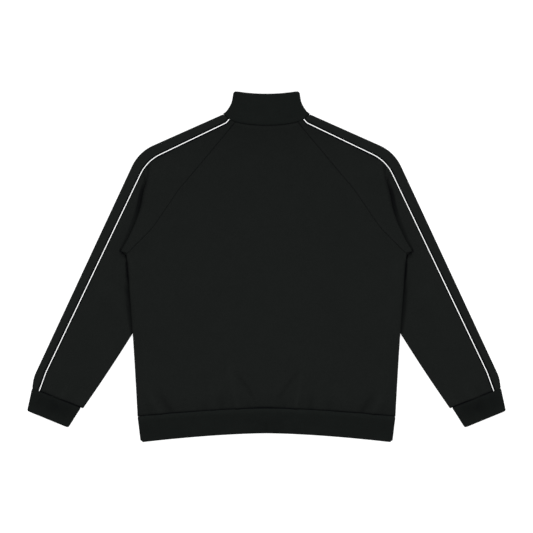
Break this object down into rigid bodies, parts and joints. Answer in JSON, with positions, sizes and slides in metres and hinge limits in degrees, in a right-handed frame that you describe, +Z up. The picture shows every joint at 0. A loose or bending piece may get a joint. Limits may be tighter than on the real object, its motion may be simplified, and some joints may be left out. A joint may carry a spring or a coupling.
{
  "type": "track jacket",
  "caption": "Black knit track jacket lying flat face down: piped raglan sleeves folded over at the armholes, stand collar, rib cuffs and hem, closed front zip beneath.",
  "frame": {"origin": "on the surface the jacket lies on, under the middle of its outline", "axes": "+Z up from the surface, +Y from hem to collar, +X across the jacket to the right of the view from above"},
  "size_m": [1.0292, 0.7551, 0.016],
  "materials": {
    "knit": "black fine knit, matt",
    "rib": "black rib knit, matt",
    "piping": "white woven piping",
    "zip_tape": "black woven tape",
    "zip_teeth": "black moulded teeth",
    "zip_metal": "black enamelled metal"
  },
  "bodies": {
    "jacket": {"back_panel": "knit", "front_panel_left": "knit", "front_panel_right": "knit", "sleeve_back_left": "knit", "sleeve_back_right": "knit", "sleeve_front_left": "knit", "sleeve_front_right": "knit", "piping_left": "piping", "piping_right": "piping", "collar": "rib", "hem_band": "rib", "cuff_left": "rib", "cuff_right": "rib", "zip_tape_left": "zip_tape", "zip_tape_right": "zip_tape", "zip_chain": "zip_teeth", "zip_box": "zip_metal", "zip_slider": "zip_metal"},
    "pull_tab": {"zip_pull_tab": "zip_metal"}
  },
  "joints": [
    {"name": "pull_tab_hinge", "type": "hinge", "parent": "jacket", "child": "pull_tab", "pos_m": [0, 0.285, 0.00195], "axis": [1, 0, 0], "range_deg": [0, 170]}
  ]
}
